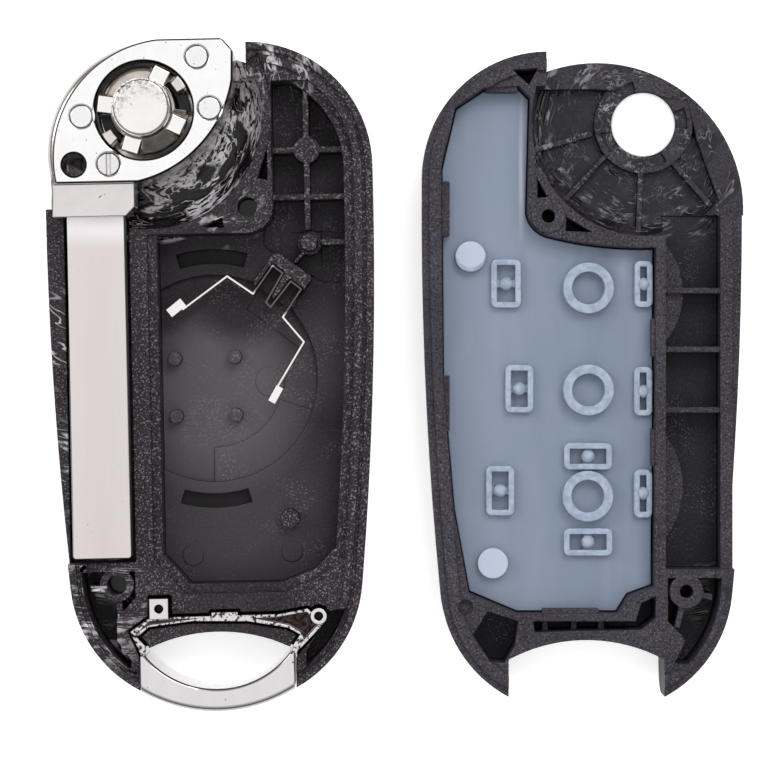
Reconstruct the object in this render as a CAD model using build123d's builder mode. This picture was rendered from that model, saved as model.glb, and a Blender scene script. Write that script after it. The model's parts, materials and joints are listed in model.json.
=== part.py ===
from build123d import *
import math
import os

# Key fob shell, opened: the rear half with its folding blade on the left, the front half on the right.
# Millimetres. Each half lies on its outer face, and is drawn in its own u (right) and v (top) directions.
# The halves mirror each other. Shared features are given for the rear half and mirrored for the front.

# Where each half lies
rear_x = -22.055
rear_y = 0.126
rear_turn = 1.2
front_x = 22.905
front_y = -0.884

# Closed outline
shoulder_u = 4.66
shoulder_r = 15.1
shoulder_turn = 89.5
top_v = 39.9
hip = (17.5, -25.5)
bay_w = 9.35
tip_v = -37.7
bottom_v = -40.25
bay_top_v = -30.85
bay_spring_v = -33.2
edge_r = 3.2
pivot_v = top_v - 8.4

# Heights of the shell
rim_z = 8.0
plateau_z = 7.4
ledge_z = 6.6
low_wall_z = 6.0
shelf_z = 3.6
floor_z = 2.2
thin_floor_z = 1.5
rib_z = 5.4

# Rim
rim_w = 2.3
ledge_w = 3.5
groove_in = 0.9
groove_w = 0.45
lip_w = 0.85

# Notch that the blade's head fills
notch_u = 4.8
notch_low_v = pivot_v - 11.1
notch_r = 17.85
notch_centre = (-1.5, pivot_v - 10.4)
reach = 2 * hip[0]

# Pivot and head pocket
pivot = (-7.2, pivot_v)
pocket_r = 13.8
pocket_round = 3.3
pocket_band = 1.2
pocket_band_z = 7.0
board_top_v = pivot_v - 14.5
pocket_corners = [
    (7.5, pivot_v + 4.2), (-1.0, pivot_v + 4.2), (-12.5, pivot_v + 2.9), (-13.8, pivot_v - 2.3),
    (-16.6, pivot_v - 10.0), (-16.0, board_top_v), (7.5, board_top_v),
]
rear_windows = [
    [(7.1, pivot_v - 4.3), (7.1, pivot_v - 8.2), (5.9, pivot_v - 8.0)],
    [(-0.6, pivot_v - 13.7), (1.5, pivot_v - 12.6), (1.8, pivot_v - 13.8)],
]
band_turn = -45.0
band_half = 72.0

# Blade channel
channel_in_u = -9.65
channel_out_u = -17.6
channel_low_v = -22.3
blade_floor_z = 2.8

# Screw bosses
boss_upper = (4.58, pivot_v - 11.4)
boss_lower = (-12.0, -25.0)
boss_r = 2.05
screw_r = 1.17
screw_head_r = 2.0
screw_head_depth = 2.4
pilot_r = 0.8
pilot_depth = 5.4

# Board pocket and battery recess of the rear half
board_left_u = -7.5
board_wall_u = 7.7
board_high_v = top_v - 4.7
board_corners = [(14.6, -22.3), (12.5, -24.5), (8.0, -26.2), (-3.8, -26.2), (-5.8, -23.8), (-7.5, -22.0)]
board_r = 3.2
board_ledge = 1.1
tall_floor_start = (board_wall_u - 1.4, board_top_v - 1.4)
tall_floor_end = (13.6, board_top_v - 6.0)
battery_centre = (-0.1, -0.4)
battery_r = 12.6
step_r = 8.4
step_h = 0.35
step_turn = -55.0
step_half = 36.0
chord_step = [(4.0, 8.0), (10.5, 3.0), (14.0, 8.0), (8.0, 14.0)]
chord_depth = 0.15
post_r = 0.85
post_h = 1.5
battery_posts = [(-4.8, 2.1), (2.5, 2.2), (-4.75, -4.9), (2.5, -4.9)]
round_mark = (6.7, -0.9)
round_mark_r = 1.8
slot_centre_r = 14.9
slot_w = 1.7
slot_half_turn = 16.0
slot_depth = 1.3
marks = [(-3.1, -21.9), (8.95, -21.7)]
mark_r = 1.28
mark_h = 0.15
stub = (8.8, -17.6)
stub_r = 1.18
stub_h = 1.6

# Ribbed corner of the rear half
rib_w = 0.7
grid_u = 11.8
grid_rows = [pivot_v - 4.5, pivot_v - 10.2]
disc_r = 1.6
peg = (11.9, pivot_v - 15.7)
peg_r = 1.0
peg_ring_r = 1.5

# Battery contact and its holder
holder = (8.6, 11.3)
holder_size = (5.6, 4.8)
holder_turn = -36.0
holder_z = 4.9
holder_pockets = [(6.9, 10.9), (9.0, 9.1)]
holder_pocket_size = (4.0, 1.6)
holder_stop = ((11.2, 14.6), (10.1, 13.4))
contact_t = 0.2
contact_low_z = 2.5
contact_h = 1.9
contact_path = [
    (-3.6, 8.05), (1.85, 11.95), (4.95, 9.75), (7.4, 13.1), (8.6, 12.2), (6.5, 8.7),
    (7.05, 8.1), (9.55, 11.2), (10.8, 10.2), (8.5, 6.85), (11.0, 3.8), (7.6, -1.7),
]
contact_fit = 0.15
pad_first = (-4.4, 8.25)
pad_first_size = (2.2, 1.13)
pad_first_turn = 38.0
pad_last = (7.45, -2.5)
pad_last_size = (2.1, 0.9)
pad_last_turn = 60.0

# Head, plate and blade
head_low_z = 4.0
head_top_z = 11.2
plate_top_z = 12.2
head_arc_mid = (-15.7, pivot_v + 3.7)
head_left = (-18.45, pivot_v - 8.5)
head_top = (-5.5, top_v)
head_edge = [(2.2, top_v), (3.5, top_v - 1.5), (3.4, pivot_v + 3.4)]
head_back_mid = (-0.6, pivot_v - 4.4)
head_back_end = (-8.0, head_left[1])
flank_round = 1.2
plate_in = 0.6
collar_low_z = 6.4
collar_top_z = 10.7
collar_left_u = -18.4
collar_right_u = -8.6
collar_low_v = pivot_v - 12.4
collar_cut = 1.1
blade_u = -13.5
blade_w = 7.0
blade_t = 2.3
blade_low_z = 6.8
blade_tip_v = -21.7
blade_root_v = pivot_v - 3.7
blade_chamfer = 0.25
seat_gap = 0.05
pin_places = [(-11.5, pivot_v - 6.3), (-15.6, pivot_v - 6.3)]
pin_r = 1.3
pin_slot_w = 0.45
pin_slot_depth = 0.5
rivet_places = [(-0.8, pivot_v + 6.2), (0.6, pivot_v + 0.1), (-14.6, pivot_v - 0.6)]
rivet_r = 1.3
rivet_deep = 3.0
opening_r = 5.75
stop_r = 4.45
stop_turns = [36.0, 217.0]
stop_half = 9.0
stop_low_z = 9.8
stop_high_z = 12.0

# Hub, spring and release button
hub_r = 4.6
hub_base_r = 5.0
hub_base_t = 1.2
hub_bore_r = 4.0
hub_top_z = 9.2
hub_lug_r = 5.35
hub_lug_low_z = 7.2
hub_lug_turns = [13.0, 193.0]
hub_lug_half = 14.0
bearing_gap = 0.05
bearing_top_z = 6.4
cap_r = 3.45
cap_top_z = 16.3
cap_dish = 0.25
cap_round = 0.35
cap_low_z = 13.9
skirt_r = 5.35
skirt_z = 11.9
skirt_t = 0.4
button_press = 2.0
stem_r = 1.9
stem_room = 0.6
stem_low_z = floor_z + hub_base_t + button_press + stem_room
lug_size = (1.9, 2.0)
lug_top_z = 13.7
lug_turns = [62.0, 172.0, 252.0, 334.0]
skirt_gap_turns = [23.0, 211.0]
skirt_gap_half = 23.5
ring_gap_half = 14.0
spring_r = 3.0
spring_wire_r = 0.4
spring_turns = 5

# Key-ring loop
loop_low_z = 1.4
loop_high_z = 9.5
loop_in_v = -37.5
loop_side_gap = 0.15
loop_corner = (bay_w - 0.75, bay_spring_v - 0.2)
loop_end_v = bay_spring_v - 0.7
loop_edge_r = 0.9
loop_inner_edge_r = 0.4
frame_low_z = 4.2
frame_high_z = 8.0
frame_web_depth = 0.5
frame_outer_edge = [
    (-bay_w + loop_side_gap, loop_end_v), (-bay_w, bay_spring_v), (-bay_w - 1.15, bay_top_v + 0.25),
    (-bay_w + 1.15, bay_top_v + 1.85), (-bay_w + 3.85, bay_top_v + 1.95), (bay_w - 1.85, bay_top_v + 2.05),
    (bay_w + 1.5, bay_top_v + 2.65), (bay_w + 3.45, bay_top_v + 0.75), (bay_w + 0.25, bay_spring_v - 0.15),
    (bay_w - loop_side_gap, loop_end_v),
]
frame_inner_edge = [
    (bay_w - 0.65, loop_end_v), (bay_w - 0.25, bay_spring_v + 0.7), (bay_w + 0.55, bay_top_v - 0.5),
    (bay_w - 0.95, bay_top_v + 0.35), (3.7, bay_top_v + 1.2), (-3.0, bay_top_v + 1.35),
    (-bay_w + 1.15, bay_top_v + 0.75), (-bay_w - 0.25, bay_top_v - 0.4), (-bay_w + 0.75, bay_spring_v + 0.8),
    (-bay_w + 0.65, loop_end_v),
]
frame_webs = [
    [
        (-bay_w - 0.55, bay_top_v + 0.1), (-bay_w + 1.25, bay_top_v + 1.45), (-bay_w + 3.95, bay_top_v + 1.6),
        (-3.2, bay_top_v + 1.65), (-bay_w + 1.05, bay_top_v + 1.05),
    ],
    [
        (4.5, bay_top_v + 1.55), (bay_w - 1.85, bay_top_v + 1.7), (bay_w + 1.35, bay_top_v + 2.2),
        (bay_w + 2.85, bay_top_v + 0.75), (bay_w + 1.05, bay_spring_v + 1.3),
        (bay_w + 0.75, bay_top_v - 0.25), (bay_w - 0.75, bay_top_v + 0.7),
    ],
]
loop_post_left = (-bay_w + 2.45, bay_top_v + 3.0)
loop_post_size = (2.3, 2.5)
loop_post_right = (bay_w + 2.85, bay_top_v + 1.75)
loop_post_r = 1.0
loop_post_z = 9.0
loop_post_hole_r = 0.5
loop_post_hole_depth = 1.5
loop_tab = (0.9, bay_top_v + 2.0)
loop_tab_size = (3.2, 0.8)
trench_gap = 0.3

# Front half: button hole, ring and ribs of the head pocket
hole_r = 3.95
ring_r = 6.0
ring_z = 3.5
ring_notch_z = 2.9
front_rib_z = 3.4
front_ribs = [
    ((1.0, pivot_v - 1.1), (-6.2, pivot_v - 3.2)), ((2.6, pivot_v - 3.9), (-2.9, pivot_v - 9.8)),
    ((6.9, pivot_v - 5.5), (6.6, pivot_v - 13.5)), ((10.8, pivot_v - 4.6), (15.4, pivot_v - 9.9)),
]
bezel_fit = 0.05
bezel_t = 0.2
bezel_flange_r = 4.9
bezel_low_z = 0.3
bezel_flange_t = 0.6
bezel_high_z = 3.0
front_pocket_side_u = -6.1
front_pocket_side_v = pivot_v - 5.5
front_windows = [
    [(-8.9, top_v - 2.3), (-5.9, top_v - 2.1), (-6.9, top_v - 4.0)],
    [(-5.9, pivot_v - 6.9), (-5.9, pivot_v - 9.2), (-4.7, pivot_v - 9.1)],
    [(-2.4, pivot_v - 11.5), (0.6, pivot_v - 13.3), (-2.5, pivot_v - 13.2)],
]

# Front half: silicone pad and its cavity
pad_t = 1.0
pad_top_corners = [
    (-6.9, pivot_v + 2.8), (-8.2, pivot_v + 4.1), (-12.3, pivot_v + 3.8), (-15.6, pivot_v + 1.6),
    (-17.3, pivot_v - 5.7),
]
pad_low_corners = [
    (-17.1, 0.0), (-15.8, -15.2), (-14.0, -25.1), (-8.3, -27.5), (3.7, -27.5), (5.0, -25.4), (8.0, -24.3),
]
pad_right_top = (8.2, board_top_v - 0.8)
pad_bend = [(1.2, board_top_v - 0.5), (-4.6, board_top_v + 0.6)]
pad_inner_u = -7.25
pad_bend_v = board_top_v + 3.6
pad_fit = 0.15
pad_ledge = 1.3
pad_ring_places = [(0.31, board_top_v - 5.5), (0.32, board_top_v - 17.8), (0.23, board_top_v - 30.6)]
pad_ring_r = 3.07
pad_ring_in_r = 1.97
pad_ring_h = 1.4
pad_plunger_r = 2.5
pad_plunger_h = 0.3
pad_disc_places = [(-13.9, board_top_v - 1.7), (-11.2, -21.7)]
pad_disc_r = 1.85
pad_disc_h = 1.1
pad_frames = [
    ((-9.6, board_top_v - 4.95), (3.6, 5.85)),
    ((-8.0, board_top_v - 17.65), (3.4, 5.75)),
    ((-10.3, board_top_v - 29.95), (3.4, 6.0)),
    ((7.0, board_top_v - 5.0), (2.2, 5.6)),
    ((6.95, board_top_v - 17.95), (2.2, 5.9)),
    ((6.95, board_top_v - 30.3), (2.2, 5.8)),
    ((0.3, board_top_v - 25.8), (5.8, 3.2)),
    ((0.3, board_top_v - 36.15), (5.86, 3.3)),
]
pad_frame_h = 0.9
pad_frame_rim = 0.7
pad_window_z = 4.5
pad_bar_w = 1.0
pad_bead_r = 0.8
pad_bead_h = 0.45
pad_bead_taper = 30.0
tab_low_z = 5.4
tab_high_z = 7.0
tabs = [
    ((-17.2, pivot_v - 10.5), (1.5, 6.6)), ((-17.2, -2.4), (1.5, 6.7)),
    ((-10.2, pivot_v + 4.1), (3.8, 1.2)),
]
tabs_right = [((8.3, 5.5), (1.0, 4.6)), ((8.3, -7.7), (1.0, 4.5))]
tab_bottom = ((-1.9, -27.7), (6.8, 1.2))

# Front half: blade channel
divider_u = 9.56
front_channel_u = 16.2
strip_u = 17.7
strip_z = 6.2
channel_ribs = [11.2, 4.1, -3.2]
channel_rib_z = 5.8
bulge_t = 2.3
bulge_z = 5.0
bulges = [(17.0, 4.8), (-6.0, -19.0)]

# Front half: keys
key_places = [(-1.2, board_top_v - 6.4), (-0.6, board_top_v - 17.9), (-1.4, board_top_v - 31.0)]
key_names = ["key_top", "key_middle", "key_bottom"]
key_caps = [(12.0, 6.2), (12.0, 7.0), (12.0, 9.0)]
key_round = 2.4
key_gap = 0.3
key_low_z = 0.35
key_flange = 1.0
key_flange_t = 0.8
key_lift = 0.3
key_travel = 0.8
pad_low_z = thin_floor_z + key_lift + key_flange_t + key_travel + key_gap + pad_plunger_h
panel_margin = 1.5
panel_depth = 0.6
panel_middle = (-1.0, -2.0)
panel_size = (17.5, 38.0)

# Corner pockets near the key-ring end
corner_in = 1.5
rear_left_pocket = [
    (-reach, -23.4), (-9.8, -23.4), (-9.8, -26.6), (-12.1, -29.0), (-12.1, -31.7), (-10.4, -34.2),
    (-10.4, -reach), (-reach, -reach),
]
rear_right_pocket = [(13.6, -28.6), (reach, -25.6), (reach, -reach), (10.6, -reach), (10.6, -33.4)]
rear_corner_ribs = [((-12.0, -25.4), (-18.0, -25.4)), ((-12.0, -25.0), (-11.2, -34.0))]
front_left_pocket = [
    (-11.9, -27.4), (-8.2, -28.6), (-8.6, -31.5), (-9.9, -33.6), (-11.6, -33.4), (-13.6, -30.2),
]
front_mid_pocket = [
    (-6.4, -28.6), (5.9, -28.6), (6.6, -26.4), (8.3, -25.6), (8.3, -28.2), (6.6, -29.6), (0.0, -29.7),
    (-6.2, -29.9),
]
front_right_pocket = [
    (9.8, -23.4), (reach, -23.4), (reach, -reach), (10.6, -33.6), (11.9, -31.0), (11.4, -30.2), (9.8, -28.6),
]
front_corner_ribs = [((11.97, -25.1), (20.0, -26.7)), ((11.97, -25.1), (10.9, -29.4))]
front_floor_ribs = [-4.9, -1.4, 1.9]
front_eye = (-14.56, -26.9)
front_eye_r = 0.9


def half_plane(x, y, turn):
    """The plane that a half is drawn on, at the height of its outer face."""
    along = (math.cos(math.radians(turn)), math.sin(math.radians(turn)), 0)
    return Plane(origin=(x, y, 0), x_dir=along, z_dir=(0, 0, 1))


rear = half_plane(rear_x, rear_y, rear_turn)
front = half_plane(front_x, front_y, 0.0)
REAR_SIDE = 1
FRONT_SIDE = -1


def on_side(side, place):
    """A place given for the rear half, on the half asked for."""
    return (side * place[0], place[1])


def around(centre, radius, turn):
    """The place at a radius and turn around a centre."""
    angle = math.radians(turn)
    return (centre[0] + radius * math.cos(angle), centre[1] + radius * math.sin(angle))


def on(plane, face):
    """A drawn face, laid on a plane."""
    with BuildSketch(plane) as placed:
        add(face)
    return placed.sketch


def outline_face(inset=0.0, with_bay=False):
    """The outline of the closed fob, or the same line moved inwards."""
    with BuildSketch() as face:
        with BuildLine():
            crown = Line((0, top_v), (shoulder_u, top_v))
            shoulder = JernArc(crown @ 1, (1, 0), shoulder_r, -shoulder_turn)
            side = TangentArc(shoulder @ 1, hip, tangent=shoulder % 1)
            corner = TangentArc(side @ 1, (bay_w, tip_v), tangent=side % 1)
            if with_bay:
                Line(corner @ 1, (bay_w, bay_spring_v))
                TangentArc((0, bay_top_v), (bay_w, bay_spring_v), tangent=(1, 0))
            else:
                TangentArc((0, bottom_v), corner @ 1, tangent=(1, 0))
            mirror(about=Plane.YZ)
        make_face()
        if inset > 0:
            offset(amount=-inset)
    return face.sketch_local


def corner_face(corners, round_r=0.0, side=REAR_SIDE):
    """A face with straight sides between corners, rounded if asked for."""
    with BuildSketch() as face:
        with BuildLine():
            Polyline(*[on_side(side, place) for place in corners], close=True)
        make_face()
        if round_r > 0:
            fillet(face.vertices(), round_r)
    return face.sketch_local


def inside_outline(face, inset):
    """The part of a face that lies inside the outline moved inwards."""
    with BuildSketch() as kept:
        add(face)
        add(outline_face(inset), mode=Mode.INTERSECT)
    return kept.sketch_local


def disc_face(places, radius, inner_r=0.0):
    """One disc or ring at each place."""
    with BuildSketch() as face:
        with Locations(*places):
            Circle(radius)
            if inner_r > 0:
                Circle(inner_r, mode=Mode.SUBTRACT)
    return face.sketch_local


def box_face(place, size, round_r=0.0, turn=0.0):
    """A rectangle at a place, with round corners if asked for."""
    with BuildSketch() as face:
        with Locations(place):
            if round_r > 0:
                RectangleRounded(size[0], size[1], round_r, rotation=turn)
            else:
                Rectangle(size[0], size[1], rotation=turn)
    return face.sketch_local


def rib_face(ribs, width):
    """Straight ribs of one width, each from its first to its second end."""
    with BuildSketch() as face:
        for start, stop in ribs:
            middle = ((start[0] + stop[0]) / 2, (start[1] + stop[1]) / 2)
            turn = math.degrees(math.atan2(stop[1] - start[1], stop[0] - start[0]))
            with Locations(middle):
                Rectangle(math.dist(start, stop), width, rotation=turn)
    return face.sketch_local


def strip_face(path, width):
    """A strip of one width along a line through points."""
    with BuildSketch() as face:
        with BuildLine() as line:
            Polyline(*path)
            offset(amount=width / 2, side=Side.BOTH)
        make_face()
    return face.sketch_local


def sector_face(centre, inner_r, outer_r, turn, half_turn):
    """A ring sector around a centre, half_turn degrees to each side of its middle."""
    with BuildSketch() as face:
        with Locations(centre):
            Circle(outer_r)
            Circle(inner_r, mode=Mode.SUBTRACT)
        with BuildLine():
            far = outer_r / math.cos(math.radians(half_turn)) + 1
            first = around(centre, far, turn - half_turn)
            last = around(centre, far, turn + half_turn)
            Polyline(centre, first, last, close=True)
        make_face(mode=Mode.INTERSECT)
    return face.sketch_local


def notch_face(side):
    """The zone around the blade's head, where the shell stays low."""
    corners = [
        (notch_u, pivot[1]),
        (notch_u, pivot[1] + reach),
        (-reach, pivot[1] + reach),
        (-reach, notch_low_v),
        (pivot[0], notch_low_v),
        pivot,
    ]
    return corner_face(corners, 0.0, side)


def notch_band_face(side):
    """The band outside the shell that the head's rim fills."""
    with BuildSketch() as face:
        add(notch_face(side))
        with Locations(on_side(side, notch_centre)):
            Circle(notch_r, mode=Mode.SUBTRACT)
    return face.sketch_local


def pocket_block(plane, side, low_z):
    """The head's pocket as a solid: a round bowl about the pivot, cut off by the low shelf."""
    centre = plane.from_local_coords((*on_side(side, pivot), 0))
    upright = Plane(origin=centre, x_dir=(1, 0, 0), z_dir=(0, -1, 0))
    with BuildPart() as block:
        with BuildSketch(upright):
            with BuildLine():
                bottom = Line((0, low_z), (pocket_r - pocket_round, low_z))
                bend = TangentArc(bottom @ 1, (pocket_r, low_z + pocket_round), tangent=(1, 0))
                Polyline(bend @ 1, (pocket_r, 2 * rim_z), (0, 2 * rim_z), (0, low_z))
            make_face()
        revolve(axis=Axis(centre, (0, 0, 1)))
        extrude(on(plane, corner_face(pocket_corners, 0.0, side)), amount=2 * rim_z, mode=Mode.INTERSECT)
    return block.part


def board_face():
    """The rear half's pocket for the board, with the tall corner beside the head."""
    corners = [(board_left_u, board_top_v), (board_wall_u, board_top_v), (board_wall_u, board_high_v)]
    corners = corners + [(reach, board_high_v), (reach, board_corners[0][1])] + board_corners
    with BuildSketch() as face:
        with BuildLine():
            Polyline(*corners, close=True)
        make_face()
        fillet(face.vertices().sort_by_distance((board_wall_u, board_top_v))[0], board_r)
    return face.sketch_local


def board_floor_face():
    """The floor of that pocket, which leaves a ledge along the left and lower sides."""
    left_u = board_left_u + board_ledge
    with BuildSketch() as upper:
        add(board_face())
        add(corner_face([(left_u, 0), (reach, 0), (reach, top_v), (left_u, top_v)]), mode=Mode.INTERSECT)
    with BuildSketch() as face:
        add(board_face())
        offset(amount=-board_ledge)
        add(upper.sketch_local)
    return inside_outline(face.sketch_local, ledge_w)


def frame_face(grow=0.0):
    """The frame bar of the key-ring loop with its struts, tab and posts, or the same line moved outwards."""
    with BuildSketch() as face:
        with BuildLine():
            Polyline(*frame_outer_edge, *frame_inner_edge, close=True)
        make_face()
        add(box_face(loop_tab, loop_tab_size))
        add(box_face(loop_post_left, loop_post_size))
        add(disc_face([loop_post_right], loop_post_r))
        if grow > 0:
            offset(amount=grow)
    return face.sketch_local


def half_blank(plane, side):
    """The outer form that both halves start from: outline, low notch, rim and plateau."""
    with BuildPart() as blank:
        extrude(on(plane, outline_face(with_bay=True)), amount=rim_z)
        foot = blank.edges().group_by(Axis.Z)[0]
        bay_middle = plane.from_local_coords((0, bay_spring_v, 0))
        fillet(foot.sort_by_distance(bay_middle)[3:], radius=edge_r)
        extrude(on(plane.offset(plateau_z), outline_face(rim_w)), amount=rim_z, mode=Mode.SUBTRACT)
        extrude(on(plane, notch_band_face(side)), amount=rim_z, mode=Mode.SUBTRACT)
        extrude(on(plane.offset(shelf_z), notch_face(side)), amount=rim_z, mode=Mode.SUBTRACT)
        add(pocket_block(plane, side, floor_z), mode=Mode.SUBTRACT)
    return blank.part


with BuildPart() as rear_housing:
    add(half_blank(rear, REAR_SIDE))

    # Seat of the hub
    hub_seat = disc_face([pivot], hub_base_r + seat_gap)
    extrude(on(rear.offset(floor_z), hub_seat), amount=rim_z, mode=Mode.SUBTRACT)

    # Groove of the rim
    with BuildSketch(rear.offset(rim_z - groove_w)) as groove:
        add(outline_face(groove_in))
        add(outline_face(groove_in + groove_w), mode=Mode.SUBTRACT)
    extrude(amount=groove_w, mode=Mode.SUBTRACT)

    # Band around the head's pocket
    band = sector_face(pivot, pocket_r, pocket_r + pocket_band, band_turn, band_half)
    extrude(on(rear.offset(pocket_band_z), band), amount=rim_z, mode=Mode.SUBTRACT)

    # Blade channel and the low wall that the blade swings out over
    channel = corner_face([
        (channel_out_u, channel_low_v), (channel_in_u, channel_low_v),
        (channel_in_u, notch_low_v), (channel_out_u, notch_low_v),
    ])
    extrude(on(rear.offset(blade_floor_z), channel), amount=rim_z, mode=Mode.SUBTRACT)
    low_wall = corner_face([
        (-reach, channel_low_v), (channel_in_u, channel_low_v),
        (channel_in_u, notch_low_v), (-reach, notch_low_v),
    ])
    extrude(on(rear.offset(low_wall_z), low_wall), amount=rim_z, mode=Mode.SUBTRACT)

    # Board pocket with its ledge, and the deeper tall corner
    extrude(on(rear.offset(ledge_z), inside_outline(board_face(), rim_w)), amount=rim_z, mode=Mode.SUBTRACT)
    extrude(on(rear.offset(floor_z), board_floor_face()), amount=rim_z, mode=Mode.SUBTRACT)
    with BuildSketch(rear.offset(thin_floor_z)) as tall_corner:
        add(board_floor_face())
        add(corner_face([
            tall_floor_start, tall_floor_end, (reach, tall_floor_end[1]),
            (reach, top_v), (tall_floor_start[0], top_v),
        ]), mode=Mode.INTERSECT)
    extrude(amount=rim_z, mode=Mode.SUBTRACT)

    # Battery recess with its steps, posts, slots, marks and stub
    with BuildSketch(rear.offset(thin_floor_z)) as battery_recess:
        add(disc_face([battery_centre], battery_r))
        add(board_floor_face(), mode=Mode.INTERSECT)
    extrude(amount=rim_z, mode=Mode.SUBTRACT)
    step = sector_face(battery_centre, step_r, battery_r, step_turn, step_half)
    extrude(on(rear.offset(thin_floor_z), step), amount=step_h)
    with BuildSketch(rear.offset(thin_floor_z - chord_depth)) as beyond_chord:
        add(disc_face([battery_centre], battery_r))
        add(corner_face(chord_step), mode=Mode.INTERSECT)
    extrude(amount=chord_depth, mode=Mode.SUBTRACT)
    extrude(on(rear.offset(thin_floor_z), disc_face([round_mark], round_mark_r)), amount=mark_h)
    for turn in (90.0, -90.0):
        slot_in_r = slot_centre_r - slot_w / 2
        slot = sector_face(battery_centre, slot_in_r, slot_in_r + slot_w, turn, slot_half_turn)
        extrude(on(rear.offset(floor_z - slot_depth), slot), amount=slot_depth, mode=Mode.SUBTRACT)
    extrude(on(rear.offset(thin_floor_z), disc_face(battery_posts, post_r)), amount=post_h)
    extrude(on(rear.offset(floor_z), disc_face(marks, mark_r)), amount=mark_h)
    extrude(on(rear.offset(floor_z), disc_face([stub], stub_r)), amount=stub_h)

    # Ribs, disc and peg of the tall corner
    rows = [((board_wall_u, v), (reach, v)) for v in grid_rows]
    rows = rows + [((peg[0] + peg_ring_r, peg[1]), (reach, peg[1]))]
    rows = rows + [((grid_u, peg[1] + peg_ring_r), (grid_u, board_high_v))]
    ribs = inside_outline(rib_face(rows, rib_w), ledge_w)
    extrude(on(rear.offset(thin_floor_z), ribs), amount=rib_z - thin_floor_z)
    grid_disc = disc_face([(grid_u, grid_rows[0])], disc_r)
    for face in (grid_disc, disc_face([peg], peg_r)):
        extrude(on(rear.offset(thin_floor_z), face), amount=rib_z - thin_floor_z)
    extrude(on(rear.offset(thin_floor_z), disc_face([peg], peg_ring_r)), amount=stub_h)

    # Holder of the battery contact
    holder_block = box_face(holder, holder_size, 0.5, holder_turn)
    extrude(on(rear.offset(thin_floor_z), holder_block), amount=holder_z - thin_floor_z)
    for place in holder_pockets:
        holder_pocket = box_face(place, holder_pocket_size, 0.0, 90 + holder_turn)
        extrude(on(rear.offset(floor_z), holder_pocket), amount=rim_z, mode=Mode.SUBTRACT)
    stop_rib = rib_face([holder_stop], contact_t + contact_fit)
    extrude(on(rear.offset(thin_floor_z), stop_rib), amount=holder_z - thin_floor_z)
    contact_slot = strip_face(contact_path, contact_t + 2 * contact_fit)
    extrude(on(rear.offset(contact_low_z), contact_slot), amount=rim_z, mode=Mode.SUBTRACT)

    # Corner pockets at the key-ring end, with the lower boss and its ribs
    left_pocket = inside_outline(corner_face(rear_left_pocket), corner_in)
    extrude(on(rear.offset(floor_z), left_pocket), amount=rim_z, mode=Mode.SUBTRACT)
    right_pocket = inside_outline(corner_face(rear_right_pocket), corner_in)
    extrude(on(rear.offset(floor_z), right_pocket), amount=rim_z, mode=Mode.SUBTRACT)
    corner_ribs = inside_outline(rib_face(rear_corner_ribs, rib_w), rim_w)
    extrude(on(rear.offset(floor_z), corner_ribs), amount=pocket_band_z - floor_z)
    extrude(on(rear.offset(floor_z), disc_face([boss_lower], boss_r)), amount=plateau_z - floor_z)

    # Trench of the key-ring loop's frame, and the small windows beside the head's pocket
    trench = on(rear.offset(frame_low_z - trench_gap), frame_face(trench_gap))
    extrude(trench, amount=rim_z, mode=Mode.SUBTRACT)
    for corners in rear_windows:
        extrude(on(rear.offset(floor_z), corner_face(corners)), amount=rim_z, mode=Mode.SUBTRACT)

    # Screw holes, with the heads sunk in the outer face
    screws = [boss_upper, boss_lower]
    extrude(on(rear, disc_face(screws, screw_r)), amount=rim_z, mode=Mode.SUBTRACT)
    extrude(on(rear, disc_face(screws, screw_head_r)), amount=screw_head_depth, mode=Mode.SUBTRACT)

rear_housing.part.label = "rear_housing"


def loop_band_face():
    """The bright band of the key-ring loop, with the D-shaped opening above it."""
    side_u = bay_w - loop_side_gap
    with BuildSketch() as face:
        with BuildLine():
            TangentArc((0, loop_in_v), loop_corner, tangent=(1, 0))
            Polyline(loop_corner, (side_u, loop_corner[1]), (side_u, tip_v))
            TangentArc((0, bottom_v), (side_u, tip_v), tangent=(1, 0))
            mirror(about=Plane.YZ)
        make_face()
    return face.sketch_local


with BuildPart() as key_ring_loop:
    extrude(on(rear.offset(loop_low_z), loop_band_face()), amount=loop_high_z - loop_low_z)
    arcs = key_ring_loop.edges().filter_by(GeomType.CIRCLE).sort_by(lambda edge: edge.radius)
    inner_edges = arcs[:2]
    fillet(arcs[-2:], radius=loop_edge_r)
    fillet(inner_edges, radius=loop_inner_edge_r)
    extrude(on(rear.offset(frame_low_z), frame_face()), amount=frame_high_z - frame_low_z)
    for corners in frame_webs:
        web = on(rear.offset(frame_high_z - frame_web_depth), corner_face(corners))
        extrude(web, amount=frame_web_depth, mode=Mode.SUBTRACT)
    loop_tops = [box_face(loop_post_left, loop_post_size), disc_face([loop_post_right], loop_post_r)]
    for post_top in loop_tops:
        extrude(on(rear.offset(frame_low_z), post_top), amount=loop_post_z - frame_low_z)
    post_holes = disc_face([loop_post_left, loop_post_right], loop_post_hole_r)
    extrude(on(rear.offset(loop_post_z - loop_post_hole_depth), post_holes), amount=rim_z, mode=Mode.SUBTRACT)

key_ring_loop.part.label = "key_ring_loop"


def head_face(flank_in=0.0):
    """The head seen from above, with its round flank moved inwards if asked for."""
    left = (head_left[0] + flank_in, head_left[1])
    middle = (head_arc_mid[0] + flank_in, head_arc_mid[1] - flank_in)
    with BuildSketch() as face:
        with BuildLine():
            ThreePointArc(left, middle, head_top)
            Polyline(head_top, *head_edge)
            ThreePointArc(head_edge[-1], head_back_mid, head_back_end)
            Line(head_back_end, left)
        make_face()
    return face.sketch_local


def collar_face():
    """The collar that the blade comes out of, with one corner cut off."""
    return corner_face([
        (collar_left_u, head_left[1]), (collar_left_u, collar_low_v),
        (collar_right_u - collar_cut, collar_low_v), (collar_right_u, collar_low_v + collar_cut),
        (collar_right_u, head_left[1] + 1),
        (collar_left_u, head_left[1] + 1),
    ])


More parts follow.
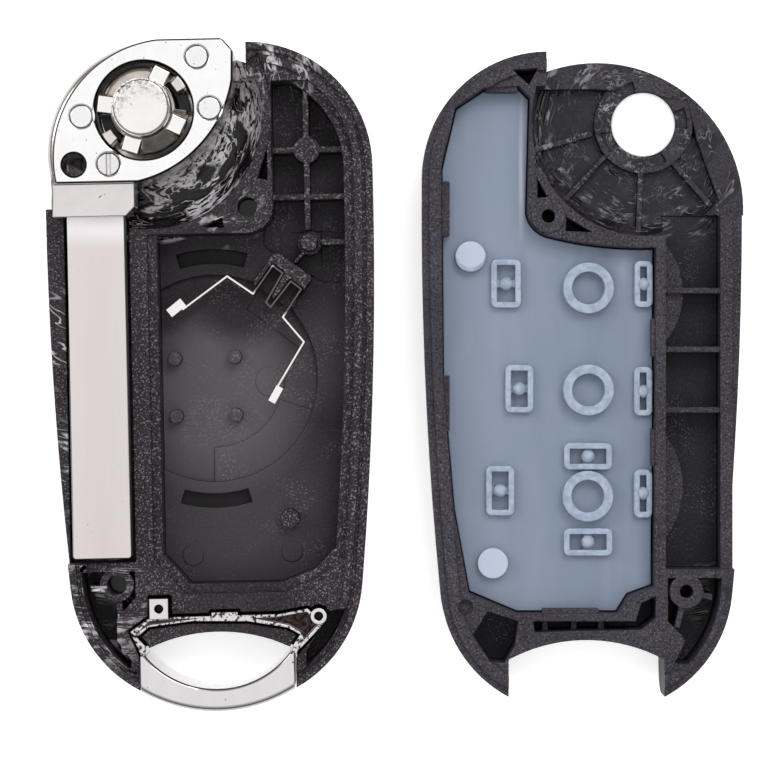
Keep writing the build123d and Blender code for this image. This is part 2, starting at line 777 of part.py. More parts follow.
with BuildPart() as head_body:
    extrude(on(rear.offset(head_low_z), head_face()), amount=head_top_z - head_low_z)
    flank = head_body.edges().filter_by(GeomType.CIRCLE).sort_by(SortBy.LENGTH)[-2:]
    fillet(flank, radius=flank_round)
    extrude(on(rear.offset(collar_low_z), collar_face()), amount=collar_top_z - collar_low_z)
    extrude(on(rear.offset(bearing_top_z), disc_face([pivot], opening_r)), amount=rim_z, mode=Mode.SUBTRACT)
    bearing = disc_face([pivot], hub_r + bearing_gap)
    extrude(on(rear.offset(head_low_z), bearing), amount=rim_z, mode=Mode.SUBTRACT)
    for turn in stop_turns:
        block = sector_face(pivot, stop_r, opening_r + seat_gap / 2, turn, stop_half)
        extrude(on(rear.offset(stop_low_z), block), amount=stop_high_z - stop_low_z)
    slot_top = blade_root_v + seat_gap
    blade_slot = box_face(
        (blade_u, (slot_top + collar_low_v) / 2 - 1), (blade_w + 2 * seat_gap, slot_top - collar_low_v + 2),
    )
    slot_h = blade_t + 2 * seat_gap
    extrude(on(rear.offset(blade_low_z - seat_gap), blade_slot), amount=slot_h, mode=Mode.SUBTRACT)
    pin_holes = disc_face(pin_places, pin_r + seat_gap)
    extrude(on(rear.offset(head_low_z), pin_holes), amount=rim_z, mode=Mode.SUBTRACT)
    rivet_holes = disc_face(rivet_places, rivet_r + seat_gap)
    extrude(on(rear.offset(plate_top_z - rivet_deep), rivet_holes), amount=rivet_deep, mode=Mode.SUBTRACT)

head_body.part.label = "head_body"

with BuildPart() as head_plate:
    extrude(on(rear.offset(head_top_z), head_face(plate_in)), amount=plate_top_z - head_top_z)
    for places, radius in (([pivot], opening_r), (pin_places, pin_r), (rivet_places, rivet_r)):
        holes = disc_face(places, radius + seat_gap)
        extrude(on(rear.offset(head_top_z), holes), amount=rim_z, mode=Mode.SUBTRACT)

head_plate.part.label = "head_plate"

with BuildPart() as head_rivets:
    extrude(on(rear.offset(plate_top_z - rivet_deep), disc_face(rivet_places, rivet_r)), amount=rivet_deep)

head_rivets.part.label = "head_rivets"

with BuildPart() as blade:
    blade_middle = (blade_u, (blade_tip_v + blade_root_v) / 2)
    blade_plan = box_face(blade_middle, (blade_w, blade_root_v - blade_tip_v))
    extrude(on(rear.offset(blade_low_z), blade_plan), amount=blade_t)
    chamfer(blade.edges().filter_by(Axis.Z), length=blade_chamfer)
    blade_holes = disc_face(pin_places, pin_r + seat_gap)
    extrude(on(rear.offset(blade_low_z), blade_holes), amount=blade_t, mode=Mode.SUBTRACT)
    extrude(on(rear.offset(blade_low_z), disc_face([pivot], opening_r)), amount=blade_t, mode=Mode.SUBTRACT)

blade.part.label = "blade"

with BuildPart() as blade_pin:
    extrude(on(rear.offset(head_low_z), disc_face(pin_places[:1], pin_r)), amount=plate_top_z - head_low_z)
    pin_slot = box_face(pin_places[0], (pin_slot_w, 2 * pin_r))
    slot_low_z = plate_top_z - pin_slot_depth
    extrude(on(rear.offset(slot_low_z), pin_slot), amount=pin_slot_depth, mode=Mode.SUBTRACT)

blade_pin.part.label = "blade_pin"

hub_floor_z = floor_z + hub_base_t
with BuildPart() as pivot_hub:
    extrude(on(rear.offset(floor_z), disc_face([pivot], hub_base_r)), amount=hub_base_t)
    extrude(on(rear.offset(floor_z), disc_face([pivot], hub_r)), amount=hub_top_z - floor_z)
    for turn in hub_lug_turns:
        lug = sector_face(pivot, hub_bore_r, hub_lug_r, turn, hub_lug_half)
        extrude(on(rear.offset(hub_lug_low_z), lug), amount=hub_top_z - hub_lug_low_z)
    extrude(on(rear.offset(hub_floor_z), disc_face([pivot], hub_bore_r)), amount=rim_z, mode=Mode.SUBTRACT)

pivot_hub.part.label = "pivot_hub"

pivot_place = rear.from_local_coords((*pivot, 0))
pivot_axis = Axis(pivot_place, (0, 0, 1))
pivot_upright = Plane(origin=pivot_place, x_dir=rear.x_dir, z_dir=-rear.y_dir)
skirt_low_z = skirt_z - skirt_t

with BuildPart() as release_button:
    with BuildSketch(pivot_upright):
        with BuildLine():
            Polyline(
                (0, stem_low_z), (stem_r, stem_low_z), (stem_r, skirt_low_z), (skirt_r, skirt_low_z),
                (skirt_r, skirt_z), (cap_r, cap_low_z), (cap_r, cap_top_z - cap_round),
                (cap_r - cap_round, cap_top_z),
            )
            TangentArc((0, cap_top_z - cap_dish), (cap_r - cap_round, cap_top_z), tangent=(1, 0))
            Line((0, cap_top_z - cap_dish), (0, stem_low_z))
        make_face()
    revolve(axis=pivot_axis)
    for turn in lug_turns:
        place = around(pivot, skirt_r - lug_size[0] / 2 - seat_gap, turn)
        lug = box_face(place, lug_size, 0.0, turn)
        extrude(on(rear.offset(skirt_low_z), lug), amount=lug_top_z - skirt_low_z)
    for turn in skirt_gap_turns:
        gap = sector_face(pivot, cap_r + skirt_t, opening_r, turn, skirt_gap_half)
        extrude(on(rear.offset(skirt_low_z), gap), amount=cap_low_z - skirt_low_z, mode=Mode.SUBTRACT)

release_button.part.label = "release_button"

spring_low_z = hub_floor_z + spring_wire_r + seat_gap
spring_high_z = skirt_low_z - spring_wire_r - seat_gap
with BuildPart() as flip_spring:
    with BuildLine() as coil:
        Helix(
            pitch=(spring_high_z - spring_low_z) / spring_turns, height=spring_high_z - spring_low_z,
            radius=spring_r, center=pivot_place + Vector(0, 0, spring_low_z),
        )
    with BuildSketch(Plane(origin=coil.line @ 0, x_dir=(1, 0, 0), z_dir=coil.line % 0)):
        Rectangle(2 * spring_wire_r, 2 * spring_wire_r)
    sweep(path=coil.line, is_frenet=True)

flip_spring.part.label = "flip_spring"

with BuildPart() as battery_contact:
    extrude(on(rear.offset(contact_low_z), strip_face(contact_path, contact_t)), amount=contact_h)
    pads_z = contact_low_z + contact_h - contact_t
    contact_pads = [(pad_first, pad_first_size, pad_first_turn), (pad_last, pad_last_size, pad_last_turn)]
    for place, size, turn in contact_pads:
        extrude(on(rear.offset(pads_z), box_face(place, size, 0.0, turn)), amount=contact_t)

battery_contact.part.label = "battery_contact"


def pad_face(grow=0.0):
    """The silicone pad seen from above, or the same line moved outwards."""
    with BuildSketch() as face:
        with BuildLine():
            Polyline((pad_inner_u, pad_bend_v), *pad_top_corners, *pad_low_corners, pad_right_top)
            bend = ThreePointArc(pad_right_top, *pad_bend)
            TangentArc(bend @ 1, (pad_inner_u, pad_bend_v), tangent=bend % 1)
        make_face()
        if grow != 0:
            offset(amount=grow)
    return face.sketch_local


pad_top_z = pad_low_z + pad_t
front_pivot = on_side(FRONT_SIDE, pivot)
front_screws = [on_side(FRONT_SIDE, boss_upper), on_side(FRONT_SIDE, boss_lower)]

with BuildPart() as front_housing:
    add(half_blank(front, FRONT_SIDE))

    # Lower lip along the outside of the rim
    with BuildSketch(front.offset(plateau_z)) as lip:
        add(outline_face())
        add(outline_face(lip_w), mode=Mode.SUBTRACT)
    extrude(amount=rim_z, mode=Mode.SUBTRACT)

    # Cavity of the pad: its ledge, and the deeper space for the keys
    extrude(on(front.offset(pad_low_z), pad_face(pad_fit)), amount=rim_z, mode=Mode.SUBTRACT)
    extrude(on(front.offset(thin_floor_z), pad_face(-pad_ledge)), amount=rim_z, mode=Mode.SUBTRACT)

    # Tabs that hold the pad down
    for place, size in tabs + tabs_right + [tab_bottom]:
        tab = inside_outline(box_face(place, size), rim_w - lip_w)
        extrude(on(front.offset(tab_low_z), tab), amount=tab_high_z - tab_low_z)

    # Blade channel, its low outer wall, ribs and bulges
    channel = corner_face([
        (divider_u, channel_low_v), (front_channel_u, channel_low_v),
        (front_channel_u, notch_low_v), (divider_u, notch_low_v),
    ])
    extrude(on(front.offset(floor_z), channel), amount=rim_z, mode=Mode.SUBTRACT)
    for inner_u, top_z in ((divider_u, strip_z), (strip_u, low_wall_z - groove_w)):
        low_wall = corner_face([
            (inner_u, channel_low_v), (reach, channel_low_v), (reach, notch_low_v), (inner_u, notch_low_v),
        ])
        extrude(on(front.offset(top_z), low_wall), amount=rim_z, mode=Mode.SUBTRACT)
    with BuildSketch(front) as outer_band:
        add(low_wall)
        add(outline_face(lip_w), mode=Mode.SUBTRACT)
    extrude(amount=rim_z, mode=Mode.SUBTRACT)
    channel_bars = rib_face([((divider_u, v), (front_channel_u, v)) for v in channel_ribs], rib_w)
    extrude(on(front.offset(floor_z), channel_bars), amount=channel_rib_z - floor_z)
    for high_v, low_v in bulges:
        crest = (divider_u + bulge_t, (high_v + low_v) / 2)
        with BuildSketch(front.offset(floor_z)):
            with BuildLine():
                ThreePointArc((divider_u, high_v), crest, (divider_u, low_v))
                Line((divider_u, low_v), (divider_u, high_v))
            make_face()
        extrude(amount=bulge_z - floor_z)

    # Far side of the head's pocket and the small windows beside it
    pocket_side = corner_face([
        (front_pocket_side_u, pocket_corners[0][1]), (0, pocket_corners[0][1]),
        (0, front_pocket_side_v), (front_pocket_side_u, front_pocket_side_v),
    ])
    for face in [pocket_side] + [corner_face(corners) for corners in front_windows]:
        extrude(on(front.offset(floor_z), face), amount=rim_z, mode=Mode.SUBTRACT)

    # Ring of the button hole with its notches, and the ribs of the head's pocket
    with BuildSketch(front.offset(floor_z)) as ring:
        add(disc_face([front_pivot], ring_r))
        add(disc_face([on_side(FRONT_SIDE, notch_centre)], notch_r), mode=Mode.INTERSECT)
    extrude(amount=ring_z - floor_z)
    for turn in lug_turns:
        ring_gap = sector_face(front_pivot, hole_r - 1, ring_r - rib_w, 180 - turn, ring_gap_half)
        extrude(on(front.offset(ring_notch_z), ring_gap), amount=rim_z, mode=Mode.SUBTRACT)
    with BuildSketch(front.offset(floor_z)) as spokes:
        add(rib_face(front_ribs, rib_w))
        add(disc_face([front_pivot], pocket_r), mode=Mode.INTERSECT)
    extrude(amount=front_rib_z - floor_z)
    extrude(on(front, disc_face([front_pivot], hole_r)), amount=rim_z, mode=Mode.SUBTRACT)
    bezel_seat = disc_face([front_pivot], bezel_flange_r + bezel_fit)
    extrude(on(front, bezel_seat), amount=bezel_low_z + bezel_flange_t, mode=Mode.SUBTRACT)

    # Openings of the keys in a sunk panel
    panel = box_face(panel_middle, panel_size, key_round + panel_margin)
    extrude(on(front, panel), amount=panel_depth, mode=Mode.SUBTRACT)
    for place, size in zip(key_places, key_caps):
        opening = box_face(place, (size[0] + 2 * key_gap, size[1] + 2 * key_gap), key_round)
        extrude(on(front, opening), amount=thin_floor_z + key_gap, mode=Mode.SUBTRACT)

    # Corner pockets at the key-ring end, with the lower boss and its ribs
    for corners in (front_left_pocket, front_mid_pocket, front_right_pocket):
        pocket = inside_outline(corner_face(corners), corner_in)
        extrude(on(front.offset(floor_z), pocket), amount=rim_z, mode=Mode.SUBTRACT)
    corner_ribs = inside_outline(rib_face(front_corner_ribs, rib_w), rim_w)
    extrude(on(front.offset(floor_z), corner_ribs), amount=pocket_band_z - floor_z)
    floor_bars = rib_face([((u, -28.4), (u, -30.2)) for u in front_floor_ribs], rib_w)
    extrude(on(front.offset(floor_z), floor_bars), amount=rib_z - floor_z)
    extrude(on(front.offset(floor_z), disc_face(front_screws, boss_r)), amount=rim_z - groove_w - floor_z)
    extrude(on(front.offset(ledge_z), disc_face([front_eye], front_eye_r)), amount=rim_z, mode=Mode.SUBTRACT)

    # Pilot holes for the screws
    pilots = disc_face(front_screws, pilot_r)
    extrude(on(front.offset(rim_z - groove_w - pilot_depth), pilots), amount=rim_z, mode=Mode.SUBTRACT)

front_housing.part.label = "front_housing"

with BuildPart() as button_bezel:
    sleeve_r = hole_r - bezel_fit
    steps = [(bezel_flange_r, bezel_flange_t), (sleeve_r, bezel_high_z - bezel_low_z)]
    for radius, height in steps:
        extrude(on(front.offset(bezel_low_z), disc_face([front_pivot], radius)), amount=height)
    bore = disc_face([front_pivot], sleeve_r - bezel_t)
    extrude(on(front, bore), amount=rim_z, mode=Mode.SUBTRACT)

button_bezel.part.label = "button_bezel"

with BuildPart() as button_pad:
    extrude(on(front.offset(pad_low_z), pad_face()), amount=pad_t)
    rings = disc_face(pad_ring_places, pad_ring_r, pad_ring_in_r)
    extrude(on(front.offset(pad_top_z), rings), amount=pad_ring_h)
    plungers = disc_face(pad_ring_places, pad_plunger_r)
    extrude(on(front.offset(pad_low_z - pad_plunger_h), plungers), amount=pad_plunger_h)
    extrude(on(front.offset(pad_top_z), disc_face(pad_disc_places, pad_disc_r)), amount=pad_disc_h)
    for place, size in pad_frames:
        frame = box_face(place, size, pad_frame_rim)
        extrude(on(front.offset(pad_top_z), frame), amount=pad_frame_h)
        window = box_face(place, (size[0] - 2 * pad_frame_rim, size[1] - 2 * pad_frame_rim))
        extrude(on(front.offset(pad_window_z), window), amount=rim_z, mode=Mode.SUBTRACT)
        bar_size = (size[0] - pad_frame_rim, pad_bar_w)
        if size[0] > size[1]:
            bar_size = (pad_bar_w, size[1] - pad_frame_rim)
        bar_z = pad_top_z + pad_frame_h / 2
        extrude(on(front.offset(pad_window_z), box_face(place, bar_size)), amount=bar_z - pad_window_z)
        bead = on(front.offset(bar_z), disc_face([place], pad_bead_r))
        extrude(bead, amount=pad_bead_h, taper=pad_bead_taper)
    room = on(front.offset(pad_low_z - pad_plunger_h), pad_face())
    extrude(room, amount=rim_z, mode=Mode.INTERSECT)

button_pad.part.label = "button_pad"

keys = []
flange_z = thin_floor_z + key_lift
for key_name, place, size in zip(key_names, key_places, key_caps):
    with BuildPart() as key:
        cap = box_face(place, size, key_round - key_gap)
        extrude(on(front.offset(key_low_z), cap), amount=flange_z + key_flange_t - key_low_z)
        flange = box_face(place, (size[0] + 2 * key_flange, size[1] + 2 * key_flange), key_round)
        extrude(on(front.offset(flange_z), flange), amount=key_flange_t)
    key.part.label = key_name
    keys.append(key.part)

os.makedirs("parts", exist_ok=True)
pieces = [
    rear_housing.part, key_ring_loop.part, battery_contact.part, pivot_hub.part,
    head_body.part, head_plate.part, head_rivets.part, blade.part, blade_pin.part,
    flip_spring.part, release_button.part,
    front_housing.part, button_bezel.part, button_pad.part,
]
for piece in pieces + keys:
    export_step(piece, "parts/" + piece.label + ".step")
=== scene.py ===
import json
import math

import bmesh
import bpy
from mathutils import Matrix, Vector
from mathutils.bvhtree import BVHTree


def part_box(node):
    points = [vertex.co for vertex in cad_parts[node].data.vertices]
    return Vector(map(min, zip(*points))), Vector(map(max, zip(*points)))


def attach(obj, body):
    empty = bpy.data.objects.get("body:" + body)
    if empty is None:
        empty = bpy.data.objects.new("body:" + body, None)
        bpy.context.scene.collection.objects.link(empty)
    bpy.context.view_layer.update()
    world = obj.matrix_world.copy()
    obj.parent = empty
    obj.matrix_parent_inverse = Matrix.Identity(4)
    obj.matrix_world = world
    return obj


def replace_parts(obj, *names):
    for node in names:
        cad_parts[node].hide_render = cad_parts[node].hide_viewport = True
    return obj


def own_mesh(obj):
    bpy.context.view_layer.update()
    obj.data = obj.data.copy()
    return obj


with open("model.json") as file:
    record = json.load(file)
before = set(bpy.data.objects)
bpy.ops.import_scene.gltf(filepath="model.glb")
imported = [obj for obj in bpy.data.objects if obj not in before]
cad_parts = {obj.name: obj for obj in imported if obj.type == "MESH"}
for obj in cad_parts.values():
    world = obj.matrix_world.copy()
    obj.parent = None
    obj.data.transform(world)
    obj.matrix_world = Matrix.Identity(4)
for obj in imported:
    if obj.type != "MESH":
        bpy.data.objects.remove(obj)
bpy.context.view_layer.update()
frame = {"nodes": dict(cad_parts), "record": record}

# Lengths are in millimetres and places in metres, unless a comment says otherwise.
# A pair such as (6.8, 6.2) is where something fades in: none of it at the first, all at the second.
MM = 0.001
FLAT = (1, 1, 0)

# The halves as they lie: origin and turn of the rear half, origin of the front half
REAR_ORIGIN = (-22.055, 0.126)
REAR_TURN = math.radians(1.2)
FRONT_ORIGIN = (22.905, -0.884)

# On the rear half: the head's pivot, the screw holes, the posts of the key-ring end, and the holder
# of the battery contact
PIVOT = (-7.2, 31.5)
BOSS_UPPER = (4.58, 20.1)
BOSS_LOWER = (-12.0, -25.0)
LOOP_POSTS = [(-6.9, -27.85), (12.2, -29.1)]
HOLDER = (8.1, 10.2)

# The rivets and the slotted pin, near which the painted shade on rounded edges is only faint
RIVETS = [(-0.8, 37.7), (0.6, 31.6), (-14.6, 30.9), (-11.5, 25.2)]
RIVET_EDGE = (1.7, 1.9)
RIVET_EDGE_SHADE = 0.3

# The balls of the pad, on the front half: places, height of their middle and radius
BALL_PLACES = [
    (-9.6, 12.05), (-8.0, -0.65), (-10.3, -12.95), (7.0, 12.0),
    (6.95, -0.95), (6.95, -13.3), (0.3, -8.8), (0.3, -19.15),
]
BALL_Z = 5.45
BALL_R = 0.8

# Heights on the housings; the low walls and sunk slots under LOW_WALLS and SUNK_SLOTS get painted shade
GREASE_TOP = (6.8, 6.2)
FLOOR_TOP = (3.4, 2.7)
LOW_WALLS = (4.2, 3.6)
SUNK_SLOTS = (1.3, 1.1)
OUTER_FACE = (1.5, 1.0)

# Heights on the release button, whose sloped skirt gets a painted reflection, and how far from its shaded
# middle the cap is mottled
SKIRT_TOP = (15.2, 14.0)
CAP_LOW = (15.5, 15.8)
CAP_MIDDLE = (PIVOT[0] + 0.55, PIVOT[1] - 1.5)
CAP_MOTTLE = (2.5, 4.6)

# The key-ring end: the webs and the top of its frame between two heights, and the holes of its posts,
# which get painted shade
WEB_HEIGHTS = ((7.9, 7.8), (7.0, 7.3))
FRAME_HEIGHTS = ((8.06, 8.03), (7.94, 7.97))
POST_HOLE_R = (0.62, 0.48)
POST_HOLE_TOP = (8.97, 8.85)

# The blade's bright end along Y, and the held part of the contact around its holder
BLADE_END = (15.2, 17.2)
HELD_R = (3.2, 2.8)

# The pad: its raised forms, its discs, its left side lighter with painted light, and its arm with a
# painted highlight, a light edge along X
PAD_RAISED = (5.02, 5.5)
PAD_DISCS = [(-13.9, 15.8), (-11.2, -21.7)]
PAD_DISC_R = (1.85, 1.75)
PAD_LEFT = (24.0, 12.0)
PAD_ARM = (16.0, 22.0)
PAD_ARM_EDGE_U = -7.75
PAD_ARM_EDGE = (0.4, 0.1)

# Noise is stretched along Y by a scale below 1
GROUND = (1.0, 0.06, 1.0)
ALONG = (1.0, 0.3, 1.0)
UPRIGHT = (1.0, 0.16, 1.0)

# Rounding of the edges: how near points are welded, which edges are rounded, how far (as a share of the
# rounding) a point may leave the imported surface, and which faces count as one level area
WELD = 0.0005
ROUND_STEPS = 2
SHARP = math.radians(38)
LEEWAY = 0.7
LEVEL = 0.99995

# The stage, in metres: the floor, the lamps as (name, place, size, watts), and the world's ceiling over
# its walls. HOLE_SHADE, the shade below the screw holes, is a pair of radii in millimetres.
FLOOR_SIZE = 3.0
FLOOR_DROP = 0.00002
FLOOR_GLOW = 0.56
HOLE_SHADE = (2.2, 2.4)
LAMPS = [
    ("lamp_above", (0.20, 0.45, 0.60), 0.35, 1.9),
    ("lamp_left", (-0.65, 0.30, 0.45), 0.30, 1.5),
]
CEILING = {"From Min": 0.25, "From Max": 0.85, "To Min": 0.24, "To Max": 1.0}

# The camera looks straight down on the middle of the photograph. CLIP is in metres.
VIEW_CENTRE = (-1.675, -0.834)
VIEW_HEIGHT = 333.0
VIEW_WIDTH = 91.6
FOCUS_HEIGHT = 8.0
SENSOR = 36.0
CLIP = (0.01, 5.0)


def rear_place(u, v, z=0.0):
    """A place of the rear half, in metres."""
    x = REAR_ORIGIN[0] + u * math.cos(REAR_TURN) - v * math.sin(REAR_TURN)
    y = REAR_ORIGIN[1] + u * math.sin(REAR_TURN) + v * math.cos(REAR_TURN)
    return (x * MM, y * MM, z * MM)


def front_place(u, v, z=0.0):
    """A place of the front half, in metres."""
    return ((FRONT_ORIGIN[0] + u) * MM, (FRONT_ORIGIN[1] + v) * MM, z * MM)


def srgb(red, green, blue):
    """A colour given as it shows, 0 to 255, as the shader's linear one."""
    def linear(part):
        part = part / 255
        return part / 12.92 if part <= 0.04045 else ((part + 0.055) / 1.055) ** 2.4
    return (linear(red), linear(green), linear(blue), 1.0)


# The dark of the metals' specks, and of the painted shade on their rounded edges
SPECK_AND_EDGE_SHADE = srgb(44, 41, 41)


class Finish:
    """A material's nodes, with short calls for what they are made of."""

    def __init__(self, name, **constants):
        self.material = bpy.data.materials.new(name)
        self.material.use_nodes = True
        self.tree = self.material.node_tree
        self.shader = self.tree.nodes["Principled BSDF"]
        self.place = self.tree.nodes.new("ShaderNodeTexCoord").outputs["Object"]
        for socket, value in constants.items():
            self.shader.inputs[socket.replace("_", " ")].default_value = value

    def node(self, kind, inputs=(), **settings):
        made = self.tree.nodes.new(kind)
        for name, value in settings.items():
            setattr(made, name, value)
        for key, value in dict(inputs).items():
            self.feed(made.inputs[key], value)
        return made

    def feed(self, socket, value):
        if isinstance(value, bpy.types.NodeSocket):
            self.tree.links.new(value, socket)
        else:
            socket.default_value = value

    def set(self, name, value):
        self.feed(self.shader.inputs[name], value)

    def stretched(self, scale):
        """The place on the piece, stretched."""
        return self.node("ShaderNodeMapping", {"Vector": self.place, "Scale": scale}).outputs["Vector"]

    def noise(self, size_mm, detail=3.0, rough=0.55, place=None, distort=0.0):
        """Noise whose largest forms are about size_mm across."""
        inputs = {"Vector": place or self.place, "Scale": 1 / (size_mm * MM), "Detail": detail}
        inputs.update({"Roughness": rough, "Distortion": distort})
        return self.node("ShaderNodeTexNoise", inputs).outputs["Fac"]

    def math(self, operation, first, second=0.0):
        return self.node("ShaderNodeMath", {0: first, 1: second}, operation=operation).outputs[0]

    def times(self, first, *others):
        for other in others:
            first = self.math("MULTIPLY", first, other)
        return first

    def most(self, first, second):
        return self.math("MAXIMUM", first, second)

    def all_but(self, share):
        return self.math("SUBTRACT", 1.0, share)

    def apart(self, first, second):
        return self.math("ABSOLUTE", self.math("SUBTRACT", first, second))

    def span(self, value, low, high, out_low=0.0, out_high=1.0):
        """The value, spread from low..high to out_low..out_high and kept inside."""
        inputs = {"Value": value, "From Min": low, "From Max": high}
        inputs.update({"To Min": out_low, "To Max": out_high})
        return self.node("ShaderNodeMapRange", inputs).outputs["Result"]

    def fade(self, length, pair, out_low=0.0, out_high=1.0):
        """A length, spread from a pair in millimetres to out_low..out_high."""
        return self.span(length, pair[0] * MM, pair[1] * MM, out_low, out_high)

    def between(self, length, upper, lower):
        """1 between two heights, each given as a pair."""
        return self.times(self.fade(length, upper), self.fade(length, lower))

    def mix(self, factor, first, second):
        inputs = {"Factor": factor, 6: first, 7: second}
        return self.node("ShaderNodeMix", inputs, data_type="RGBA").outputs[2]

    def vector(self, operation, *inputs, output="Vector"):
        made = self.node("ShaderNodeVectorMath", dict(enumerate(inputs)), operation=operation)
        return made.outputs[output]

    def axis(self, name):
        return self.node("ShaderNodeSeparateXYZ", {"Vector": self.place}).outputs[name]

    def distance(self, place):
        """The distance from a place, seen from above."""
        flat = self.vector("MULTIPLY", self.place, FLAT)
        return self.vector("DISTANCE", flat, (place[0], place[1], 0), output="Value")

    def normal(self):
        return self.node("ShaderNodeNewGeometry").outputs["Normal"]

    def tilt(self):
        """How far a surface faces up: 1 on a level face, 0 on an upright one, below 0 underneath."""
        return self.node("ShaderNodeSeparateXYZ", {"Vector": self.normal()}).outputs["Z"]

    def level(self):
        """1 on a surface that faces up."""
        return self.span(self.tilt(), 0.80, 0.95)

    def inner_side(self):
        """0 on a surface that faces down, and 1 on all others."""
        return self.span(self.tilt(), -0.3, -0.1)

    def bump(self, height, depth_mm, strength=1.0, after=None):
        inputs = {"Height": height, "Distance": depth_mm * MM, "Strength": strength}
        if after is not None:
            inputs["Normal"] = after
        return self.node("ShaderNodeBump", inputs).outputs["Normal"]


def grease(made, look):
    """Where grease lies, in the head pocket and on some patches: its share, its folds and its painted
    sheen of highlights.
    """
    apart = made.vector("SUBTRACT", made.place, look["pivot"])
    away = made.vector("NORMALIZE", made.vector("MULTIPLY", apart, FLAT))
    outward = made.vector("DOT_PRODUCT", away, made.normal(), output="Value")
    near_pivot = made.distance(look["pivot"])
    blotches = made.noise(3.0, 4.0, 0.6)
    in_pocket = made.fade(near_pivot, (look["pocket_r"], look["pocket_r"] - 0.6))
    in_pocket = made.times(in_pocket, made.fade(made.axis("Z"), GREASE_TOP))
    covered = made.span(blotches, look["dry"], look["dry"] + 0.14)
    wet = made.times(in_pocket, covered, made.span(outward, 0.5, 0.3))
    for place, radius in look["greasy"]:
        patch = made.fade(made.distance(place), (radius, 0.35 * radius))
        patch = made.times(patch, made.span(blotches, 0.46, 0.58), made.span(made.tilt(), 0.3, 0.6))
        wet = made.most(wet, patch)
    wet = made.times(wet, made.inner_side())

    # The folds run round the pivot
    parts = made.node("ShaderNodeSeparateXYZ", {"Vector": apart}).outputs
    along = made.times(made.math("ARCTAN2", parts["Y"], parts["X"]), 4 * MM)
    around = made.node("ShaderNodeCombineXYZ", {"X": near_pivot, "Y": along, "Z": parts["Z"]}).outputs[0]
    folds = made.noise(1.9, 2.0, 0.5, around, 1.4)
    # Painted sheen: highlights painted into the colour as thin lines along the folds and flecked bands
    lines = made.times(made.span(made.apart(folds, 0.5), 0.022, 0.006), made.span(blotches, 0.42, 0.50))
    bands = made.span(made.noise(2.8, 1.0, 0.5, around, 0.9), look["bands"], look["bands"] + 0.03)
    flecks = made.span(made.noise(0.42, 2.0, 0.6, around, 0.6), 0.43, 0.50)
    painted_sheen = made.most(made.times(lines, look["lines"]), made.times(bands, flecks))
    return wet, folds, made.times(wet, painted_sheen)


def shell_plastic(name, look):
    """Moulded black plastic: grained rims with painted glints and pit shade, smoother floors, patches and
    walls of painted light and shade, and greasy places with a painted sheen.
    """
    made = Finish(name)
    rise = made.axis("Z")
    tilt = made.tilt()
    inner_side = made.inner_side()
    wet, folds, painted_sheen = grease(made, look)
    floor = made.times(made.fade(rise, FLOOR_TOP), inner_side)
    grain = made.noise(0.2, 3.0, 0.7)
    mould = made.span(made.noise(9.0, 3.0, 0.5), 0.32, 0.68)
    # Painted shade in the grain's pits, as dark specks
    pit_shade = made.span(made.noise(0.26, 2.0, 0.6), 0.46, 0.38)
    # Painted glints, as light specks, fewer in the smooth patches
    painted_glints = made.span(made.noise(0.24, 2.0, 0.6), 0.55, 0.66)
    for place, radius in look["smooth"]:
        calm = made.fade(made.distance(place), (0.6 * radius, radius), 0.25, 1.0)
        painted_glints = made.times(painted_glints, made.most(calm, made.fade(rise, OUTER_FACE)))

    rim_colour = made.mix(mould, look["rim_low"], look["rim_high"])
    rim_colour = made.mix(made.times(pit_shade, 0.8), rim_colour, srgb(12, 10, 12))
    rim_colour = made.mix(made.times(painted_glints, look["painted_glint_share"]), rim_colour, srgb(146, 142, 147))

    floor_colour = made.mix(mould, look["floor_low"], look["floor_high"])
    # Patches of painted light and shade: the battery recess lighter in its middle and darker at its top
    # near the holder
    for place, inner, outer, colour in look["light"]:
        floor_colour = made.mix(made.fade(made.distance(place), (outer, inner)), floor_colour, colour)
    # Painted glints on the floors too, in patches
    floor_glint_share = made.span(made.noise(5.0, 2.0, 0.5), 0.50, 0.60, 0.06, 0.30)
    floor_colour = made.mix(made.times(painted_glints, floor_glint_share), floor_colour, srgb(150, 144, 150))

    colour = made.mix(floor, rim_colour, floor_colour)
    # Painted shade on the upright walls of low features and on the floors of sunk slots
    wall_shade = made.times(made.span(tilt, 0.75, 0.3), made.fade(rise, LOW_WALLS))
    slot_shade = made.times(made.span(tilt, 0.7, 0.9), made.fade(rise, SUNK_SLOTS))
    shadow = made.times(made.most(wall_shade, slot_shade), inner_side)
    colour = made.mix(made.times(shadow, 0.8), colour, srgb(10, 8, 10))
    colour = made.mix(made.times(wet, 0.75), colour, srgb(11, 10, 12))
    # The grease's painted sheen: highlights painted in the sheen colour
    made.set("Base Color", made.mix(painted_sheen, colour, look["painted_sheen"]))

    made.set("Specular IOR Level", made.span(wet, 0.0, 1.0, 0.2, 0.32))
    rough = made.span(grain, 0.3, 0.7, 0.42, 0.6)
    made.set("Roughness", made.node("ShaderNodeMix", {0: wet, 2: rough, 3: 0.14}).outputs[0])
    dry_grain = made.times(made.all_but(floor), made.all_but(wet))
    fine = made.bump(grain, 0.05, made.span(dry_grain, 0.0, 1.0, 0.12, 1.0))
    made.set("Normal", made.bump(folds, 0.7, made.times(wet, 0.8), fine))
    return made.material


